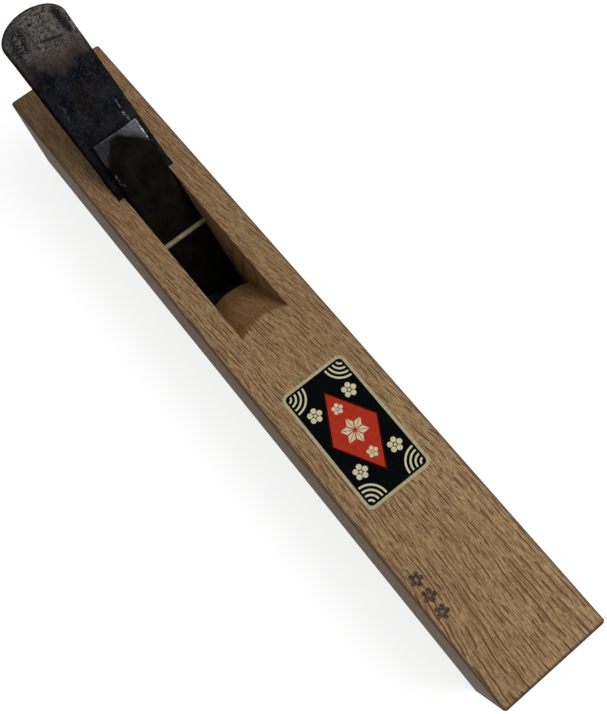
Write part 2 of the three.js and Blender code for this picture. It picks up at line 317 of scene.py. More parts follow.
ring_share = node("MapRange", {"Value": grain["ring"], "From Min": 0.4, "From Max": 0.65, "To Max": 0.18})
heel_share = node("MapRange", {
    "Value": place_xyz.outputs[0], "From Min": HEEL_START, "From Max": stock_low.x, "To Max": 0.25})
# Painted shade: the sides are greyer and darker, as where less light falls on them.
side_painted_shade = node("Math", on_side, 0.7, operation="MULTIPLY")
ray_strength = node("MapRange", {"Value": on_side, "To Min": 0.9, "To Max": 0.2})
ray_faint = node("MapRange", {"Value": in_throat, "To Min": 1.0, "To Max": 0.6})
ray_share = node("Math", rays, ray_strength, operation="MULTIPLY")
ray_share = node("Math", ray_share, ray_faint, operation="MULTIPLY")
fleck_shape = node("MapRange", {"Value": grain["fleck"], "From Min": 0.56, "From Max": 0.66, "To Max": 0.3})
fleck_share = node("Math", fleck_shape, on_side, operation="MULTIPLY")
print("the heel's deeper brown starts", round((HEEL_START - stock_low.x) / MM), "mm from the heel")

# %% Oak: clean wood, its marks, and painted shade on the sides
wood = two_tone(node, fibre, 0.38, 0.62, "#7e6243", "#a78a66")
OAK_LAYERS = [
    (ring_share, "#755a3a"),
    (heel_share, "#57432b"),
    (side_painted_shade, "#6b6054"),
    (on_end, "#4b3925"),
    (ray_share, "#492e11"),
    (fleck_share, "#938570"),
]
for share, colour in OAK_LAYERS:
    wood = node("Mix", {0: share, MIX_A: wood, MIX_B: linear(colour)}, data_type="RGBA")
# Painted light: the cream darkens the throat near the top and hardly at all deeper down, so the deep walls
# stay lighter against their shade.
throat_tone_and_painted_light = node("Mix", {
    0: down_throat, MIX_A: linear("#e0d4bb"), MIX_B: linear("#fffbe2")}, data_type="RGBA")
wood = node("Mix", {0: in_throat, MIX_A: wood, MIX_B: throat_tone_and_painted_light}, data_type="RGBA", blend_type="MULTIPLY")
print("layers over the clean wood:", len(OAK_LAYERS))

# %% [markdown]
# An edge is where paint, skin or dirt wears or gathers first. A Bevel node gives the normal that the
# surface would have with rounded edges. Where it departs from the real normal, an edge is near.

# %% Helper that finds edges
BEVEL_SAMPLES = 6


def flatness(node, radius_mm):
    """1 where the surface is flat, and less within this distance of an edge."""
    softened = node("Bevel", {"Radius": radius_mm * MM}, samples=BEVEL_SAMPLES)
    geometry = node("NewGeometry")
    return node("VectorMath", softened, geometry.outputs["Normal"], operation="DOT_PRODUCT")


print("samples per edge test:", BEVEL_SAMPLES)

# %% [markdown]
# Hands have burnished the long arrises to a dark band. On an edge of the box two of the three distances
# are small, so the middle one of the three says how far away the edge is. Other edges, such as the
# throat's, only get a weak dark line, which is wear on the outer edges and painted shade along the inner
# corners. Dirt sits deepest in the two end faces. A few centimetres from the toe the top has a faint round
# smudge.

# %% Oak: smudge, dark arrises and ends
SMUDGE_CENTRE, SMUDGE_RADIUS = Vector((66, 2, 30)) * MM, 5.5 * MM
ARRIS_BAND, ARRIS_FULL, GRIME_FULL = 0.95 * MM, 0.3 * MM, 0.35 * MM
EDGE_RADIUS_MM = 0.3

from_smudge = node("VectorMath", bent, SMUDGE_CENTRE, operation="DISTANCE")
smudge = node("MapRange", {
    "Value": from_smudge, "From Min": SMUDGE_RADIUS, "From Max": 0.0, "To Max": 0.4},
    interpolation_type="SMOOTHSTEP")
lesser = node("Math", away_x, away_y, operation="MINIMUM")
greater = node("Math", away_x, away_y, operation="MAXIMUM")
greater = node("Math", greater, away_z, operation="MINIMUM")
from_arris = node("Math", lesser, greater, operation="MAXIMUM")
arris = node("MapRange", {
    "Value": from_arris, "From Min": ARRIS_BAND, "From Max": ARRIS_FULL, "To Max": 0.7},
    interpolation_type="SMOOTHSTEP")
# This weak dark line also finds inner corners, where it is painted shade.
edge_wear_and_crease_shade = node("MapRange", {
    "Value": flatness(node, EDGE_RADIUS_MM), "From Min": 0.99, "From Max": 0.88, "To Max": 0.15})
edge_share = node("Math", arris, edge_wear_and_crease_shade, operation="MAXIMUM")
end_grime = node("MapRange", {
    "Value": away_x, "From Min": ARRIS_BAND, "From Max": GRIME_FULL, "To Max": 0.7})
print("the arris band is about", round(ARRIS_BAND / MM, 2), "mm wide")

# %% [markdown]
# Three small five-petalled blossoms are stamped in dark ink near the toe. Each one is a distance from a
# point, set against a radius that swells five times round the circle, with a paler heart. The ink dries
# brown black and matt, and a fine noise wears it away.

# %% Helper for one ink blossom
INK_RADIUS, INK_EDGE = 1.95 * MM, 0.2 * MM
INK_WAIST_SHARE, INK_PETALS = 0.6, 5
HEART_RADIUS, HEART_EDGE = 0.3 * MM, 0.5 * MM


def ink_blossom(node, place, centre):
    from_centre = node("VectorMath", place, centre, operation="SUBTRACT")
    away = node("VectorMath", from_centre, operation="LENGTH")
    parts = node("SeparateXYZ", from_centre)
    turn = node("Math", parts.outputs[1], parts.outputs[0], operation="ARCTAN2")
    turn = node("Math", turn, INK_PETALS / 2, operation="MULTIPLY")
    petal = node("Math", turn, operation="COSINE")
    petal = node("Math", petal, operation="ABSOLUTE")
    outline = node("MapRange", {
        "Value": petal, "To Min": INK_WAIST_SHARE * INK_RADIUS, "To Max": INK_RADIUS})
    inside = node("Math", outline, away, operation="SUBTRACT")
    filled = node("MapRange", {"Value": inside, "From Max": INK_EDGE})
    heart = node("MapRange", {
        "Value": away, "From Min": HEART_RADIUS, "From Max": HEART_EDGE, "To Min": 0.35})
    return node("Math", filled, heart, operation="MULTIPLY")


print("an ink blossom is", round(2 * INK_RADIUS / MM, 1), "mm across")

# %% Oak: ink marks, and all the dark layers
INK_CENTRES = [Vector((x, -11.7, 30.0)) * MM for x in (67.4, 71.8, 76.2)]
BLOT_SIZES = (0.6, 0.6, 0.6)

first, second, third = [ink_blossom(node, place, centre) for centre in INK_CENTRES]
ink = node("Math", first, second, operation="MAXIMUM")
ink = node("Math", ink, third, operation="MAXIMUM")
blot = stretched_noise(node, place, BLOT_SIZES, 2.0)
ink_wear = node("MapRange", {
    "Value": blot, "From Min": 0.34, "From Max": 0.54, "To Min": 0.5, "To Max": 0.97})
ink_share = node("Math", ink, ink_wear, operation="MULTIPLY")
DARK_LAYERS = [(smudge, "#6a4f33"), (edge_share, "#4c3822"), (end_grime, "#34261a"), (ink_share, "#2b221c")]
for share, colour in DARK_LAYERS:
    wood = node("Mix", {0: share, MIX_A: wood, MIX_B: linear(colour)}, data_type="RGBA")
fill(shader, {"Base Color": wood})
print("ink marks:", len(INK_CENTRES), "and dark layers:", len(DARK_LAYERS))

# %% [markdown]
# Bare planed wood hardly shines, so its specular level is low and its roughness high, a little less so on
# the dense fibres. Fibres stand up and rays lie low, by a few hundredths of a millimetre.

# %% Oak: roughness and relief
WOOD_RELIEF = 0.04 * MM

roughness = node("MapRange", {
    "Value": fibre, "From Min": 0.3, "From Max": 0.7, "To Min": 0.78, "To Max": 0.62})
relief = node("Math", fibre, rays, operation="SUBTRACT")
bump = node("Bump", {"Height": relief, "Strength": 1.0, "Distance": WOOD_RELIEF})
fill(shader, {"Specular IOR Level": 0.15, "Roughness": roughness, "Normal": bump})
print("oak has", len(oak.node_tree.nodes), "nodes")

# %% [markdown]
# Wear on the irons is placed the way one would measure it on the bench: so far up the face from the
# cutting edge, and so far to the side. The sides and the back of a plate keep their black, so a second
# helper tells the face from them.

# %% Helpers that find a place on a plate
def place_on_plate(node):
    """Each point's place, and how far up the face it lies from the cutting edge."""
    place = node("TexCoord").outputs["Object"]
    from_edge = node("VectorMath", place, cutting_edge, operation="SUBTRACT")
    return place, node("VectorMath", from_edge, face_slope, operation="DOT_PRODUCT")


def on_plate_face(node):
    """1 on the face of a plate, 0 on its sides and back."""
    geometry = node("NewGeometry")
    upward = node("VectorMath", geometry.outputs["Normal"], plate_up, operation="DOT_PRODUCT")
    return node("MapRange", {"Value": upward, "From Min": 0.3, "From Max": 0.7})


print("the cutting edge is at x", round(cutting_edge.x / MM, 1), "mm, z", round(cutting_edge.z / MM, 1), "mm")

# %% [markdown]
# The blade's body is soft iron. Forging leaves a skin of black iron oxide, which reflects like a very
# dark metal, bluish in some places and brown in others. To the eye it is almost black, with a dull,
# uneven sheen. Five noises make its surface: slow ones for the cast of colour and the mottling, fine ones
# for grit and pits, and one stretched across the blade for scratches.

# %% Iron: noises for the forged surface
IRON_NOISES = {
    "mottle": (5.0, 5.0, 0.62),
    "cast": (9.0, 2.0, 0.5),
    "grit": (0.8, 4.0, 0.7),
    "fine_pits": (0.5, 3.0, 0.6),
}
SCRATCH_SIZES = (0.35, 1.6, 1)

scale_iron, node, shader = new_material("forge_scaled_iron")
place, up_face = place_on_plate(node)
across = node("SeparateXYZ", place).outputs[1]
iron = {}
for name, (size, detail, rough) in IRON_NOISES.items():
    iron[name] = node("TexNoise", {
        "Vector": place, "Scale": per_mm(size), "Detail": detail, "Roughness": rough})
on_plate = node("CombineXYZ", up_face, across)
scratches = stretched_noise(node, on_plate, SCRATCH_SIZES, 2.0)
pitting = node("Mix", {0: 0.4, 2: iron["fine_pits"], 3: scratches})
pitting = node("Mix", {0: 0.3, 2: pitting, 3: iron["grit"]})
print("the largest pits are about", IRON_NOISES["grit"][0], "mm apart")

# %% Iron: the forged skin
pale_share = node("MapRange", {"Value": iron["mottle"], "From Min": 0.42, "From Max": 0.68, "To Max": 0.8})
fleck_share = node("MapRange", {"Value": iron["grit"], "From Min": 0.52, "From Max": 0.66, "To Max": 0.6})
skin = two_tone(node, iron["cast"], 0.42, 0.58, "#07080b", "#0d0a09")
for share, colour in [(pale_share, "#18181b"), (fleck_share, "#27272a")]:
    skin = node("Mix", {0: share, MIX_A: skin, MIX_B: linear(colour)}, data_type="RGBA")
print("forge-scaled iron has", len(scale_iron.node_tree.nodes), "nodes so far")

# %% [markdown]
# Years of hammer taps have worn the skin off the head, down to a grey brown patch full of small pits, but
# the rounded rim has kept it. The patch begins at a distance up the face from the cutting edge, and a
# noise breaks up its border, which is browner than the rest.

# %% Iron: the worn head
WORN_START, WORN_FULL, WORN_BREAK = 76.5 * MM, 81 * MM, 12 * MM
BROWN_END, BROWN_FULL = 86 * MM, 80 * MM
RIM_RADIUS_MM = 1.3

break_up = node("Math", iron["mottle"], -0.5, operation="ADD")
broken = node("Math", break_up, WORN_BREAK, operation="MULTIPLY")
ragged = node("Math", up_face, broken, operation="ADD")
worn = node("MapRange", {
    "Value": ragged, "From Min": WORN_START, "From Max": WORN_FULL},
    interpolation_type="SMOOTHSTEP")
off_rim = node("MapRange", {"Value": flatness(node, RIM_RADIUS_MM), "From Min": 0.86, "From Max": 0.995})
bare = two_tone(node, pitting, 0.41, 0.56, "#0e0d0d", "#484543")
brown_share = node("MapRange", {
    "Value": ragged, "From Min": BROWN_END, "From Max": BROWN_FULL, "To Max": 0.85})
bare = node("Mix", {0: brown_share, MIX_A: bare, MIX_B: linear("#261e1a")}, data_type="RGBA")
worn_face = node("Math", worn, off_rim, operation="MULTIPLY")
worn_iron = node("Mix", {0: worn_face, MIX_A: skin, MIX_B: bare}, data_type="RGBA")
print("worn from", WORN_START / MM, "mm up the face")

# %% [markdown]
# Some marks are single: a hammer line, a patch of skin that stayed, a bright scratch. Each is a stroke
# from one point of the face to another. A point's distance from that stroke, made ragged by a noise, says
# whether it lies inside.

# %% Helper for single marks
MARK_EDGE = 0.12


def with_marks(node, base, marks, up_face, across, ragged_noise):
    """Lays strokes over a colour. Each has both ends (up the face, to the side), a half width and a
    raggedness in mm, then a strength and a colour. The noise moves the stroke's outline in and out."""
    for (up_a, side_a), (up_b, side_b), half, ragged_by, strength, colour in marks:
        long = math.hypot(up_b - up_a, side_b - side_a)
        turn = math.atan2(side_b - side_a, up_b - up_a)
        shift_up = node("Math", up_face, (up_a + up_b) / 2 * MM, operation="SUBTRACT")
        shift_side = node("Math", across, (side_a + side_b) / 2 * MM, operation="SUBTRACT")
        flat = node("CombineXYZ", shift_up, shift_side)
        turned = node("VectorRotate", {"Vector": flat, "Angle": -turn}, rotation_type="Z_AXIS")
        local = node("SeparateXYZ", turned)
        beyond = node("Math", local.outputs[0], operation="ABSOLUTE")
        beyond = node("Math", beyond, (long / 2 - half) * MM, operation="SUBTRACT")
        beyond = node("Math", beyond, 0.0, operation="MAXIMUM")
        reach = node("CombineXYZ", beyond, local.outputs[1])
        away = node("VectorMath", reach, operation="LENGTH")
        ragged = node("MapRange", {
            "Value": ragged_noise, "From Min": 0.38, "From Max": 0.62,
            "To Min": ragged_by * MM, "To Max": -ragged_by * MM})
        away = node("Math", away, ragged, operation="ADD")
        share = node("MapRange", {
            "Value": away, "From Min": (half + MARK_EDGE) * MM,
            "From Max": (half - MARK_EDGE) * MM, "To Max": strength})
        base = node("Mix", {0: share, MIX_A: base, MIX_B: linear(colour)}, data_type="RGBA")
    return base


print("a stroke fades out over", 2 * MARK_EDGE, "mm")

# %% Iron: marks on the blade's face
# Dark lines and patches of skin on the head, with three paler rubs among them, then thin scratches below;
# the two brightest, near the right edge, are partly scratches and partly painted glints.
FACE_MARKS = [
    ((83.9, 3.4), (85.2, -2.3), 0.25, 0.25, 0.85, "#0c0b0a"),
    ((88.5, -3.5), (84.2, -3.7), 0.15, 0.3, 0.6, "#12100f"),
    ((88.0, 3.0), (88.3, -1.5), 0.12, 0.3, 0.6, "#12100f"),
    ((90.0, 4.8), (83.6, 5.7), 0.9, 1.1, 0.9, "#0b0b0d"),
    ((86.4, 7.3), (83.4, 6.9), 0.45, 0.7, 0.5, "#56555b"),
    ((82.6, 6.6), (78.4, 6.2), 0.9, 1.1, 0.45, "#39362f"),
    ((90.6, -5.6), (84.5, -8.0), 1.9, 1.9, 0.85, "#0b0b0e"),
    ((85.5, -8.2), (77.0, -7.4), 1.1, 1.8, 0.7, "#101013"),
    ((89.6, -6.4), (83.0, -7.3), 0.2, 1.5, 0.35, "#5a5a5e"),
    ((73.4, 5.5), (73.9, -7.0), 0.0, 0.4, 0.3, "#34373c"),
    ((69.8, -7.0), (66.8, -7.5), 0.0, 0.5, 0.4, "#45484a"),
    # Partly scratches, partly painted glints along the right edge.
    ((65.7, 5.4), (62.9, 5.4), 0.1, 0.4, 0.5, "#5c5d60"),
    ((61.8, 5.2), (58.9, 5.6), 0.12, 0.45, 0.6, "#757575"),
]
marked = with_marks(node, worn_iron, FACE_MARKS, up_face, across, pitting)
marked = node("Mix", {0: on_plate_face(node), MIX_A: skin, MIX_B: marked}, data_type="RGBA")
rimmed = node("Mix", {0: off_rim, MIX_A: linear("#080708"), MIX_B: marked}, data_type="RGBA")
fill(shader, {"Base Color": rimmed})
print("marks on the face:", len(FACE_MARKS))

# %% [markdown]
# The dark skin hardly brightens at a grazing angle, so its edge tint is dark too. Its grit breaks up the
# gloss and stands out by a few hundredths of a millimetre.

# %% Iron: gloss and relief
IRON_RELIEF = 0.06 * MM

gloss = node("MapRange", {
    "Value": iron["grit"], "From Min": 0.3, "From Max": 0.7, "To Min": 0.42, "To Max": 0.62})
bump = node("Bump", {"Height": iron["grit"], "Strength": 0.8, "Distance": IRON_RELIEF})
fill(shader, {"Metallic": 1.0, "Specular Tint": linear("#3a3a3c"), "Roughness": gloss, "Normal": bump})
print("forge-scaled iron has", len(scale_iron.node_tree.nodes), "nodes")

# %% [markdown]
# The chipbreaker is iron too, blackened with oil and heat, so it looks a dull brown black. Its two upper
# corners, the ears, were bent down with a hammer and then filed, so they show bluish grey metal that fades
# into the black at the fold. Each ear is the triangle where the distances from the side and from the upper
# end, each divided by the length of its own leg, add up to less than one. The smith never makes the two
# alike: the near one is narrower. It is also painted darker, as painted shade on the ear that faces away
# from the lamp, by showing its filed metal at half strength.

# %% Chipbreaker: where the ears lie
EAR_ACROSS = (5.4 * MM, 6.9 * MM)
EAR_ALONG = 6.4 * MM
MIDDLE_BLEND = 0.2 * MM

chip_half = chip_high.y
chip_points = [vertex.co for vertex in frame["nodes"]["chipbreaker_body"].data.vertices]
chip_end = max((point - cutting_edge).dot(face_slope) for point in chip_points)
black_iron, node, shader = new_material("oil_blackened_iron")
place, up_face = place_on_plate(node)
across = node("SeparateXYZ", place).outputs[1]
inward = inward_from(node, chip_half, across)
down = node("Math", chip_end, up_face, operation="SUBTRACT")
ear_width = node("MapRange", {
    "Value": across, "From Min": -MIDDLE_BLEND, "From Max": MIDDLE_BLEND,
    "To Min": EAR_ACROSS[0], "To Max": EAR_ACROSS[1]})
leg_across = node("Math", inward, ear_width, operation="DIVIDE")
leg_along = node("Math", down, EAR_ALONG, operation="DIVIDE")
legs = node("Math", leg_across, leg_along, operation="ADD")
print("the chipbreaker ends", round(chip_end / MM, 1), "mm up the face")

# %% Chipbreaker: black film and filed metal
STROKE_SIZES = (2.5, 0.35, 2.5)

mottle = node("TexNoise", {"Vector": place, "Scale": per_mm(3.5), "Detail": 4.0, "Roughness": 0.6})
grit = node("TexNoise", {"Vector": place, "Scale": per_mm(0.6), "Detail": 3.0})
film_colour = two_tone(node, mottle, 0.35, 0.65, "#070605", "#0f0d0a")
strokes = stretched_noise(node, place, STROKE_SIZES, 2.0)
filed = two_tone(node, strokes, 0.3, 0.7, "#2c2c30", "#3b3c40")
print("file strokes are drawn about", STROKE_SIZES[1], "mm wide")

# %% Chipbreaker: how far the file has bared the ears, and painted shade on the near one
FADE_SHARE = 0.5
SIDE_BLEND = 2 * MM
END_STRIP_START, END_STRIP_FULL = 1.3 * MM, 0.5 * MM

fade = node("Math", mottle, -0.5, operation="ADD")
fade = node("Math", fade, FADE_SHARE, operation="MULTIPLY")
uneven = node("Math", legs, fade, operation="ADD")
ear = node("MapRange", {"Value": uneven, "From Min": 1.1, "From Max": 0.88}, interpolation_type="SMOOTHSTEP")
near_corner = node("MapRange", {"Value": uneven, "From Min": 0.95, "From Max": 0.25, "To Min": 0.7})
# Painted shade: the near ear shows its filed metal at half strength, so it is darker than the far one.
near_ear_painted_shade = node("MapRange", {"Value": across, "From Min": -SIDE_BLEND, "From Max": SIDE_BLEND, "To Min": 0.5})
bared = node("Math", ear, near_corner, operation="MULTIPLY")
bared = node("Math", bared, near_ear_painted_shade, operation="MULTIPLY")
end_strip = node("MapRange", {
    "Value": down, "From Min": END_STRIP_START, "From Max": END_STRIP_FULL, "To Max": 0.35})
bared = node("Math", bared, end_strip, operation="MAXIMUM")
print("the upper end is rubbed over", round(END_STRIP_START / MM, 1), "mm")

# %% [markdown]
# Two more places are paler. The filed corners have a faint bright line along their very edge, broken up
# by the mottling, where they have lost some of the black. The lower end has a painted highlight: a grey
# band, a little further up on one side than on the other. Of three short strokes, the longest is a painted
# glint along the far ear's edge and two are scratches. As on the blade, the sides and the back keep their
# film.

# %% Chipbreaker: bright edge and painted highlight at the lower end
LINE_START, LINE_FULL = 0.45 * MM, 0.2 * MM
GLEAM_START, GLEAM_FULL, GLEAM_SKEW = 8.0 * MM, 5.0 * MM, 0.2

from_rim = node("Math", inward, down, operation="MINIMUM")
bright_line = node("MapRange", {"Value": from_rim, "From Min": LINE_START, "From Max": LINE_FULL})
line_breaks = node("MapRange", {"Value": mottle, "From Min": 0.44, "From Max": 0.6, "To Max": 0.3})
line_share = node("Math", bright_line, line_breaks, operation="MULTIPLY")
line_share = node("Math", line_share, bared, operation="MULTIPLY")
# Painted highlight: a grey band across the lower end, where light catches it.
gleam_place = node("Math", across, GLEAM_SKEW, up_face, operation="MULTIPLY_ADD")
painted_gleam = node("MapRange", {
    "Value": gleam_place, "From Min": GLEAM_START, "From Max": GLEAM_FULL, "To Max": 0.7},
    interpolation_type="SMOOTHSTEP")
black = node("Mix", {0: bared, MIX_A: film_colour, MIX_B: filed}, data_type="RGBA")
for share, colour in [(line_share, "#9a9a99"), (painted_gleam, "#6e6e72")]:
    black = node("Mix", {0: share, MIX_A: black, MIX_B: linear(colour)}, data_type="RGBA")
print("the lower", GLEAM_START / MM, "mm are rubbed")

# %% Chipbreaker: marks, gloss and relief
CHIP_MARKS = [
    # A painted glint along the far ear's edge.
    ((56.8, 6.55), (53.4, 6.65), 0.1, 0.16, 0.95, "#9c9c9a"),
    ((50.0, -6.2), (47.2, -6.5), 0.06, 0.3, 0.4, "#56564f"),
    ((47.6, -6.2), (46.7, -5.6), 0.05, 0.3, 0.35, "#45453f"),
]
FILM_RELIEF = 0.03 * MM

black = with_marks(node, black, CHIP_MARKS, up_face, across, grit)
black = node("Mix", {0: on_plate_face(node), MIX_A: film_colour, MIX_B: black}, data_type="RGBA")
gloss = node("MapRange", {"Value": grit, "From Min": 0.3, "From Max": 0.7, "To Min": 0.4, "To Max": 0.56})
bump = node("Bump", {"Height": grit, "Strength": 0.5, "Distance": FILM_RELIEF})
fill(shader, {
    "Base Color": black, "Metallic": 1.0, "Specular Tint": linear("#3a3834"),
    "Roughness": gloss, "Normal": bump})
print("oil-blackened iron has", len(black_iron.node_tree.nodes), "nodes")

# %% [markdown]
# The hard steel under both irons is carbon steel, ground flat and honed, so it gives a pale, streaky
# shine. Grinding lines run across it. They are about 0.02 mm wide, so they are drawn ten times as coarse
# to show at all. Only the strip next to the cutting edge is honed again and again. Further up the steel
# is darkened almost to black, with a cloudy border: partly patina, partly painted shade deep in the throat.

# %% Ground steel: grinding lines
GRINDING_SIZES = (0.2, 9, 0.2)

ground_steel, node, shader = new_material("ground_carbon_steel")
place, up_face = place_on_plate(node)
lines = stretched_noise(node, place, GRINDING_SIZES, 3.0)
honed = two_tone(node, lines, 0.3, 0.7, "#7d8082", "#9b9ea0")
polish = node("MapRange", {"Value": lines, "From Min": 0.3, "From Max": 0.7, "To Min": 0.22, "To Max": 0.36})
fill(shader, {"Metallic": 1.0, "Specular Tint": linear("#8a8c8e"), "Roughness": polish})
print("grinding lines are drawn", GRINDING_SIZES[0], "mm wide")

# %% Ground steel: patina and painted shade
CLOUD_SIZE_MM, CLOUD_REACH = 6, 8 * MM
DARKENED_START, DARKENED_FULL = 5 * MM, 13 * MM

cloud = node("TexNoise", {"Vector": place, "Scale": per_mm(CLOUD_SIZE_MM), "Detail": 3.0})
cloud_shift = node("MapRange", {"Value": cloud, "To Min": -CLOUD_REACH, "To Max": CLOUD_REACH})
# Darker further up the face: partly patina, partly painted shade deep in the throat.
patina_and_shade_at = node("Math", up_face, cloud_shift, operation="ADD")
patina_and_shade = node("MapRange", {
    "Value": patina_and_shade_at, "From Min": DARKENED_START, "From Max": DARKENED_FULL, "To Max": 0.97})
steel = node("Mix", {0: patina_and_shade, MIX_A: honed, MIX_B: linear("#0e0d0c")}, data_type="RGBA")
fill(shader, {"Base Color": steel})
print("the patina is full about", DARKENED_FULL / MM, "mm up the face")

# %% [markdown]
# The cross pin is a plain drawn steel rod with a dull brown colour, partly a tarnish film and partly a
# painted reflection of the oak around it. Most of what the eye sees is that colour, not a metal's shine,
# so it is only a little metallic.

# %% Drawn steel
BROWN_SIZE_MM = 1.8

drawn_steel, node, shader = new_material("drawn_steel_tarnish_and_reflection")
place = node("TexCoord").outputs["Object"]
tarnish_and_reflection = node("TexNoise", {"Vector": place, "Scale": per_mm(BROWN_SIZE_MM), "Detail": 4.0})
# The brown is partly tarnish and partly a painted reflection of the surrounding oak.
drawn = two_tone(node, tarnish_and_reflection, 0.35, 0.7, "#8a7d67", "#6f624d")
dull = node("MapRange", {"Value": tarnish_and_reflection, "From Min": 0.35, "From Max": 0.7, "To Min": 0.6, "To Max": 0.8})
fill(shader, {"Base Color": drawn, "Metallic": 0.1, "Specular IOR Level": 0.2, "Roughness": dull})
print("steel materials:", ground_steel.name, drawn_steel.name)

# %% [markdown]
# The label is thin handmade paper, printed from wood blocks with flat inks that dry quite matt, so
# nothing on it shines. Each ink gets the same faint fibre pattern as the paper under it, because the ink
# soaks in unevenly. Each finish below has a dark and a pale tone and a roughness.

# %% Paper and inks
PAPER_FINISHES = {
    "washi_paper": ("#8f8766", "#b3ab8a", 0.85),
    "black_block_ink": ("#060708", "#0c0d0f", 0.55),
    "dark_red_block_ink": ("#2c0c07", "#3c120b", 0.6),
    "vermilion_block_ink": ("#98291a", "#ab3322", 0.6),
    "cream_block_ink": ("#b3ac8b", "#cbc5a6", 0.7),
}
PULP_SIZES, PULP_RELIEF = (0.9, 0.35, 1), 0.02 * MM

inks = {}
for name, (dark, pale, rough) in PAPER_FINISHES.items():
    inks[name], node, shader = new_material(name)
    place = node("TexCoord").outputs["Object"]
    pulp = stretched_noise(node, place, PULP_SIZES, 4.0)
    tone = two_tone(node, pulp, 0.3, 0.7, dark, pale)
    bump = node("Bump", {"Height": pulp, "Strength": 0.4, "Distance": PULP_RELIEF})
    fill(shader, {"Base Color": tone, "Roughness": rough, "Specular IOR Level": 0.0, "Normal": bump})
print("paper finishes:", ", ".join(inks))

# %% [markdown]
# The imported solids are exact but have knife-sharp edges. A copy of each is cleaned first: its doubled
# corners are merged and flat neighbours are joined into one face, so that a bevel finds only the real
# edges. The wooden and ground pieces then get a small bevel and keep their flat faces.

# %% Helpers that copy a solid and bake its modifiers
SAME_POINT, SAME_PLANE = 0.001 * MM, math.radians(0.5)


def copy_of(node_name, name):
    piece = placed(name, frame["nodes"][node_name].data.copy())
    piece.data.materials.clear()
    work = bmesh.new()
    work.from_mesh(piece.data)
    bmesh.ops.remove_doubles(work, verts=work.verts, dist=SAME_POINT)
    bmesh.ops.dissolve_limit(
        work, angle_limit=SAME_PLANE, verts=work.verts, edges=work.edges, use_dissolve_boundaries=False)
    work.to_mesh(piece.data)
    work.free()
    return piece


def applied(piece):
    """Bakes the piece's modifiers into its mesh."""
    shown = piece.evaluated_get(bpy.context.evaluated_depsgraph_get())
    mesh = bpy.data.meshes.new_from_object(shown)
    piece.modifiers.clear()
    piece.data = mesh
    return piece


print("solids to copy:", len(frame["nodes"]))

# %% Helpers that ease the edges
BEVELLED_ABOVE, SMOOTH_BELOW = math.radians(25), math.radians(24)


def smooth_shaded(piece):
    """Shades as one curve every edge that turns only a little, and keeps the sharper ones crisp."""
    work = bmesh.new()
    work.from_mesh(piece.data)
    for face in work.faces:
        face.smooth = True
    for edge in work.edges:
        edge.smooth = edge.is_manifold and edge.calc_face_angle() < SMOOTH_BELOW
    work.to_mesh(piece.data)
    work.free()
    return piece


def eased(piece, width_mm, segments=2):
    bevel = piece.modifiers.new("eased_edges", "BEVEL")
    bevel.width = width_mm * MM
    bevel.segments = segments
    bevel.limit_method = "ANGLE"
    bevel.angle_limit = BEVELLED_ABOVE
    return smooth_shaded(applied(piece))


print("edges sharper than", round(math.degrees(BEVELLED_ABOVE)), "degrees are eased")

# %% [markdown]
# Every finished piece hangs on the empty of what it rides on, so that it moves with its joint, and the
# imported node it stands for is hidden. The stock is the first. A maker eases its edges by 0.2 mm with one
# stroke of a plane.

# %% Stock
def dress(piece, material, body, node_name):
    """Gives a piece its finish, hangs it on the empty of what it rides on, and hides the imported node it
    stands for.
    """
    piece.data.materials.append(material)
    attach(piece, body)
    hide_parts(node_name)
    print(piece.name, "has", len(piece.data.polygons), "faces")
    return piece


dress(eased(copy_of("dai", "stock"), width_mm=0.2), oak, "dai", "dai")

# %% [markdown]
# Forged iron is never quite flat. A voxel remesh gives an even grid of small faces, and a little
# smoothing rounds the edges, as forging does. The grid is square to the axes, so the piece is first laid
# flat along them, and turned back up the slope afterwards. Each point is then pressed in by a smooth
# noise, about as deep as hammer dimples. It is pressed in only, so that the irons never grow into the
# wood or into each other.

# %% Helper for forged surfaces
lay_flat = Matrix((face_slope, (0, 1, 0), plate_up)).to_4x4()


def forged(node_name, name, voxel_mm, dimple_mm, depth_mm):
    piece = copy_of(node_name, name)
    piece.data.transform(lay_flat)
    grid = piece.modifiers.new("even_grid", "REMESH")
    grid.mode = "VOXEL"
    grid.voxel_size = voxel_mm * MM
    grid.use_smooth_shade = True
    soft = piece.modifiers.new("soft_edges", "SMOOTH")
    soft.factor = 0.5
    soft.iterations = 3
    applied(piece)
    piece.data.transform(lay_flat.inverted())
    normals = [vertex.normal.copy() for vertex in piece.data.vertices]
    for vertex, normal in zip(piece.data.vertices, normals):
        broad = noise.noise(vertex.co / (dimple_mm * MM))
        fine = noise.noise(vertex.co / (0.25 * dimple_mm * MM))
        press = depth_mm * MM * (0.5 + 0.4 * broad + 0.1 * fine)
        vertex.co -= normal * press
    piece.data.update()
    return piece


print("plate normal:", [round(c, 3) for c in plate_up])

# %% Blade and chipbreaker bodies
dress(
    forged("blade_body", "blade_iron", voxel_mm=0.36, dimple_mm=5.0, depth_mm=0.12),
    scale_iron, "blade", "blade_body")
chip_iron = dress(
    forged("chipbreaker_body", "chipbreaker_iron", voxel_mm=0.26, dimple_mm=4.0, depth_mm=0.07),
    black_iron, "chipbreaker", "chipbreaker_body")

# %% [markdown]
# The solid has plain flat ears. The real ones swell a little into the plate, so the top face is pressed
# down a little more near each upper corner, with the same triangle as the finish uses.

# %% Pressed ears
EAR_PRESS, EAR_SLOPE = 0.22 * MM, 2.5

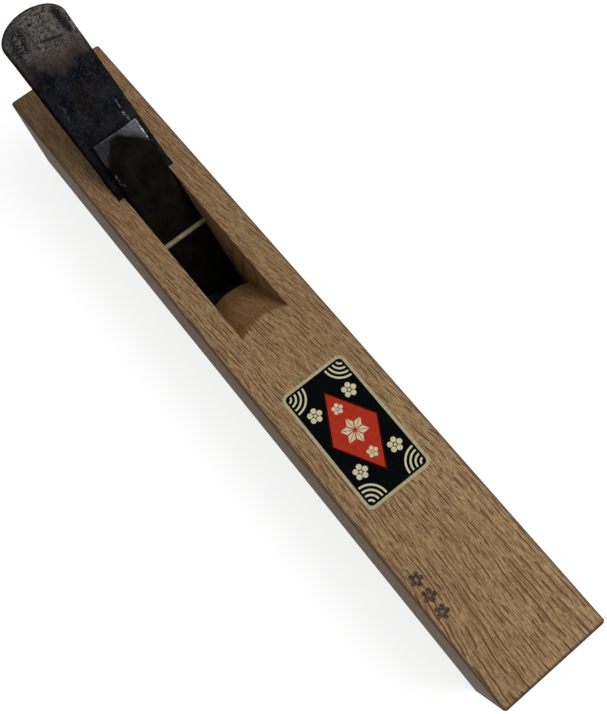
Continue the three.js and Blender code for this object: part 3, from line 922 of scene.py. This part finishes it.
for vertex in chip_iron.data.vertices:
    down_end = chip_end - (vertex.co - cutting_edge).dot(face_slope)
    legs_sum = (chip_half - abs(vertex.co.y)) / EAR_ACROSS[vertex.co.y > 0] + down_end / EAR_ALONG
    if vertex.normal.dot(plate_up) > 0.5 and legs_sum < 1:
        vertex.co -= plate_up * EAR_PRESS * min(1, EAR_SLOPE * (1 - legs_sum))
chip_iron.data.update()
print("ears pressed down by", EAR_PRESS / MM, "mm")

# %% [markdown]
# The hard steel is a thin plate, forge welded under the soft iron. The smith files it back a little at
# both sides, so its bright edge doesn't show past the iron's rounded sides.

# %% Hard steel
FILED_BACK = 0.22 * MM


def hard_steel(node_name, name):
    piece = copy_of(node_name, name)
    half_width = max(abs(vertex.co.y) for vertex in piece.data.vertices)
    for vertex in piece.data.vertices:
        vertex.co.y *= 1 - FILED_BACK / half_width
    piece.data.update()
    return eased(piece, width_mm=0.03, segments=1)


dress(
    hard_steel("blade_edge_steel", "blade_hard_steel"),
    ground_steel, "blade", "blade_edge_steel")
dress(
    hard_steel("chipbreaker_edge_steel", "chipbreaker_hard_steel"),
    ground_steel, "chipbreaker", "chipbreaker_edge_steel")

# %% [markdown]
# The cross pin is a rod. A cylinder of 40 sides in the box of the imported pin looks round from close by,
# and its ends are eased, as a filed rod's are.

# %% Cross pin
PIN_SIDES = 40


def solid(name, work):
    """A new object from a mesh under work."""
    mesh = bpy.data.meshes.new(name)
    work.to_mesh(mesh)
    work.free()
    return placed(name, mesh)


pin_size = pin_high - pin_low
pin_centre = (pin_high + pin_low) / 2
work = bmesh.new()
bmesh.ops.create_cone(
    work, cap_ends=True, segments=PIN_SIDES, radius1=pin_size.x / 2, radius2=pin_size.x / 2, depth=pin_size.y,
    matrix=Matrix.Translation(pin_centre) @ Matrix.Rotation(math.pi / 2, 4, "X"))
pin = solid("cross_pin", work)
dress(eased(pin, width_mm=0.15, segments=3), drawn_steel, "dai", "chipbreaker_pin")
print("the pin is", round(pin_size.x / MM, 2), "mm thick")

# %% [markdown]
# The label is built the way it was printed: a paper sheet, a black field, a red lozenge with a thin dark
# outline, then the cream figures. Each ink is a film of its own, 0.012 mm thick, so the shapes stay crisp
# however close the camera comes. The figures are traditional: a hemp-leaf star between two small plum
# blossoms on the lozenge, rippling waves in the corners, and four larger blossoms between them. They are
# cut as for a stencil, with small bridges between the parts, so no two parts of a film overlap.

# %% Helper for a printed film
LABEL_TURN = math.radians(-0.6)
PAPER_THICKNESS, INK_THICKNESS = 0.1 * MM, 0.012 * MM
label_centre = (label_low + label_high) / 2


def film(name, outlines, level, thickness, material):
    """Closed flat prisms over outlines given in mm round the label's centre, level metres above the stock."""
    work = bmesh.new()
    for outline in outlines:
        lower = [work.verts.new((x * MM, y * MM, level)) for x, y in outline]
        base = work.faces.new(lower)
        raised = bmesh.ops.extrude_face_region(work, geom=[base])["geom"]
        for vertex in raised:
            if isinstance(vertex, bmesh.types.BMVert):
                vertex.co.z += thickness
    bmesh.ops.recalc_face_normals(work, faces=work.faces)
    foot = Matrix.Translation((label_centre.x, label_centre.y, label_low.z))
    bmesh.ops.transform(work, matrix=foot @ Matrix.Rotation(LABEL_TURN, 4, "Z"), verts=work.verts)
    return dress(solid(name, work), material, "dai", "paper_label")


print("the label is turned", round(math.degrees(LABEL_TURN), 2), "degrees")

# %% Helpers for plain outlines
def polar(x, y, radius, degrees):
    return x + radius * math.cos(math.radians(degrees)), y + radius * math.sin(math.radians(degrees))


def rounded_rectangle(length, width, radius, steps=8):
    corners = [(1, 1, 0), (-1, 1, 90), (-1, -1, 180), (1, -1, 270)]
    points = []
    for side_x, side_y, start in corners:
        centre = side_x * (length / 2 - radius), side_y * (width / 2 - radius)
        points += [polar(*centre, radius, start + 90 * k / steps) for k in range(steps + 1)]
    return points


def disc(x, y, radius, steps=20):
    return [polar(x, y, radius, 360 * k / steps) for k in range(steps)]


def lozenge(x, y, half_length, half_width):
    return [(x + half_length, y), (x, y + half_width), (x - half_length, y), (x, y - half_width)]


print("a disc has", len(disc(0, 0, 1)), "points, a sheet", len(rounded_rectangle(3, 2, 1)))

# %% Helpers for the cream figures
def hemp_leaf(x, y, radius, bridge=0.78):
    """Six pointed leaves, each of two long triangles, every triangle drawn in a little from its edges."""
    triangles = []
    for k in range(6):
        for side in (-1, 1):
            waist = polar(x, y, radius / math.sqrt(3), 60 * k + 30 * side)
            corners = [(x, y), polar(x, y, radius, 60 * k), waist]
            cx, cy = sum(c[0] for c in corners) / 3, sum(c[1] for c in corners) / 3
            triangles.append([(cx + bridge * (px - cx), cy + bridge * (py - cy)) for px, py in corners])
    return triangles


def blossom(x, y, radius):
    """Five round petals about a dot."""
    petals = [disc(*polar(x, y, 0.63 * radius, 90 + 72 * k), 0.35 * radius) for k in range(5)]
    return petals + [disc(x, y, 0.2 * radius)]


def ripple(x, y, radius, width, start, steps=12):
    """A quarter ring round a corner."""
    outer = [polar(x, y, radius + width / 2, start + 90 * k / steps) for k in range(steps + 1)]
    inner = [polar(x, y, radius - width / 2, start + 90 * k / steps) for k in range(steps + 1)]
    return outer + inner[::-1]


print("a star has", len(hemp_leaf(0, 0, 1)), "parts, a blossom", len(blossom(0, 0, 1)))

# %% Label: its outlines
PAPER_LENGTH, PAPER_WIDTH, PAPER_CORNER = 34.6, 19.1, 1.8
FIELD_LENGTH, FIELD_WIDTH, FIELD_CORNER = 33.0, 17.5, 1.2
LOZENGE_HALF_LENGTH, LOZENGE_HALF_WIDTH, LOZENGE_RIM = 11.4, 6.6, 0.45
RIM_POINT = 1.7 * LOZENGE_RIM
STAR_RADIUS, BUD_PLACE, BUD_RADIUS = 3.9, 6.6, 1.5
FLOWER_PLACE, FLOWER_RADIUS = (8.6, 5.3), 2.0
RIPPLE_INSET, RIPPLE_RADII, RIPPLE_LINE = 0.55, (1.0, 2.2, 3.4, 4.6), 0.5
CORNERS = [(1, 1, 180), (-1, 1, 270), (-1, -1, 0), (1, -1, 90)]

sheet = [rounded_rectangle(PAPER_LENGTH, PAPER_WIDTH, PAPER_CORNER)]
field = [rounded_rectangle(FIELD_LENGTH, FIELD_WIDTH, FIELD_CORNER)]
red = [lozenge(0, 0, LOZENGE_HALF_LENGTH, LOZENGE_HALF_WIDTH)]
rim = [lozenge(0, 0, LOZENGE_HALF_LENGTH + RIM_POINT, LOZENGE_HALF_WIDTH + LOZENGE_RIM)]
on_red = hemp_leaf(0, 0, STAR_RADIUS) + blossom(-BUD_PLACE, 0, BUD_RADIUS) + blossom(BUD_PLACE, 0, BUD_RADIUS)
on_black = []
for sx, sy, start in CORNERS:
    on_black += blossom(FLOWER_PLACE[0] * sx, FLOWER_PLACE[1] * sy, FLOWER_RADIUS)
for sx, sy, start in CORNERS:
    corner = sx * (FIELD_LENGTH / 2 - RIPPLE_INSET), sy * (FIELD_WIDTH / 2 - RIPPLE_INSET)
    on_black += [ripple(*corner, radius, RIPPLE_LINE, start) for radius in RIPPLE_RADII]
print("cream outlines:", len(on_red) + len(on_black))

# %% Label: paper and films of ink
FILMS = [
    ("label_paper", sheet, 0, "washi_paper"),
    ("label_field", field, 1, "black_block_ink"),
    ("label_lozenge_rim", rim, 2, "dark_red_block_ink"),
    ("label_lozenge", red, 3, "vermilion_block_ink"),
    ("label_star", on_red, 4, "cream_block_ink"),
    ("label_waves", on_black, 2, "cream_block_ink"),
]
for name, outlines, layer, ink_name in FILMS:
    level = 0 if layer == 0 else PAPER_THICKNESS + (layer - 1) * INK_THICKNESS
    film(name, outlines, level, INK_THICKNESS if layer else PAPER_THICKNESS, inks[ink_name])
print("label in mm:", [round(side / MM, 2) for side in label_high - label_low])

# %% [markdown]
# The light is plain: a wide soft lamp overhead and an even sky, together about strong enough for a
# surface that faces up to render as its colour is written. The world and the floor look white to the
# camera, in reflections and through glass, but light the object less, so the upright sides stay darker
# than the top. The floor lies just under the sole and is matt, like a sheet of paper, and keeps the shadow.

# %% Helper for what the camera sees
SEEN_RAYS = ("Is Camera Ray", "Is Glossy Ray", "Is Transmission Ray")


def seen_directly(node):
    """1 for rays from the camera, a mirror or a pane of glass, 0 for light on its way to a matt surface."""
    path = node("LightPath")
    camera_ray, glossy_ray, glass_ray = [path.outputs[name] for name in SEEN_RAYS]
    seen = node("Math", camera_ray, glossy_ray, operation="ADD")
    return node("Math", seen, glass_ray, operation="ADD", use_clamp=True)


print("kinds of ray that see white:", len(SEEN_RAYS))

# %% Floor
FLOOR_SIDE, FLOOR_GAP = 6.0, 0.02 * MM
FLOOR_BOUNCE, FLOOR_SEEN, FLOOR_LIFT = (0.5, 0.5, 0.5, 1), (0.32, 0.32, 0.32, 1), 0.8

floor_mesh = bpy.data.meshes.new("floor")
half = FLOOR_SIDE / 2
corners = [(-half, -half, 0), (half, -half, 0), (half, half, 0), (-half, half, 0)]
floor_mesh.from_pydata(corners, [], [(0, 1, 2, 3)])
floor = placed("floor", floor_mesh)
floor.location.z = stock_low.z - FLOOR_GAP

floor_material, node = new_material("white_paper_floor")[:2]
seen = seen_directly(node)
lit = node("Mix", {0: seen, MIX_A: FLOOR_BOUNCE, MIX_B: FLOOR_SEEN}, data_type="RGBA")
matt = node("BsdfDiffuse", {"Color": lit})
lift_strength = node("Math", seen, FLOOR_LIFT, operation="MULTIPLY")
lift = node("Emission", {"Strength": lift_strength})
both = node("AddShader", {0: matt, 1: lift})
fill(floor_material.node_tree.nodes["Material Output"], {"Surface": both})
floor.data.materials.append(floor_material)
print("floor:", FLOOR_SIDE, "m wide,", FLOOR_GAP / MM, "mm under the sole")

# %% Sky and lamp
SKY_LIGHT = 0.4
LAMP_SIDE, LAMP_WATTS = 0.6, 6.0
LAMP_PLACE = Vector((0.34, 0.42, 0.72))

world = bpy.data.worlds.new("sky")
bpy.context.scene.world = world
world.use_nodes = True
node = partial(add_node, world.node_tree)
strength = node("MapRange", {"Value": seen_directly(node), "To Min": SKY_LIGHT, "To Max": 1.0})
fill(world.node_tree.nodes["Background"], {"Color": (1, 1, 1, 1), "Strength": strength})

lamp = placed("softbox", bpy.data.lights.new("softbox", "AREA"))
lamp.data.shape = "SQUARE"
lamp.data.size = LAMP_SIDE
lamp.data.energy = LAMP_WATTS
lamp.location = LAMP_PLACE
lamp.rotation_euler = (Vector((0, 0, 0)) - lamp.location).to_track_quat("-Z", "Y").to_euler()
bpy.context.scene.view_settings.view_transform = "Standard"
print("lamp:", LAMP_WATTS, "W,", round(LAMP_PLACE.length, 2), "m away")
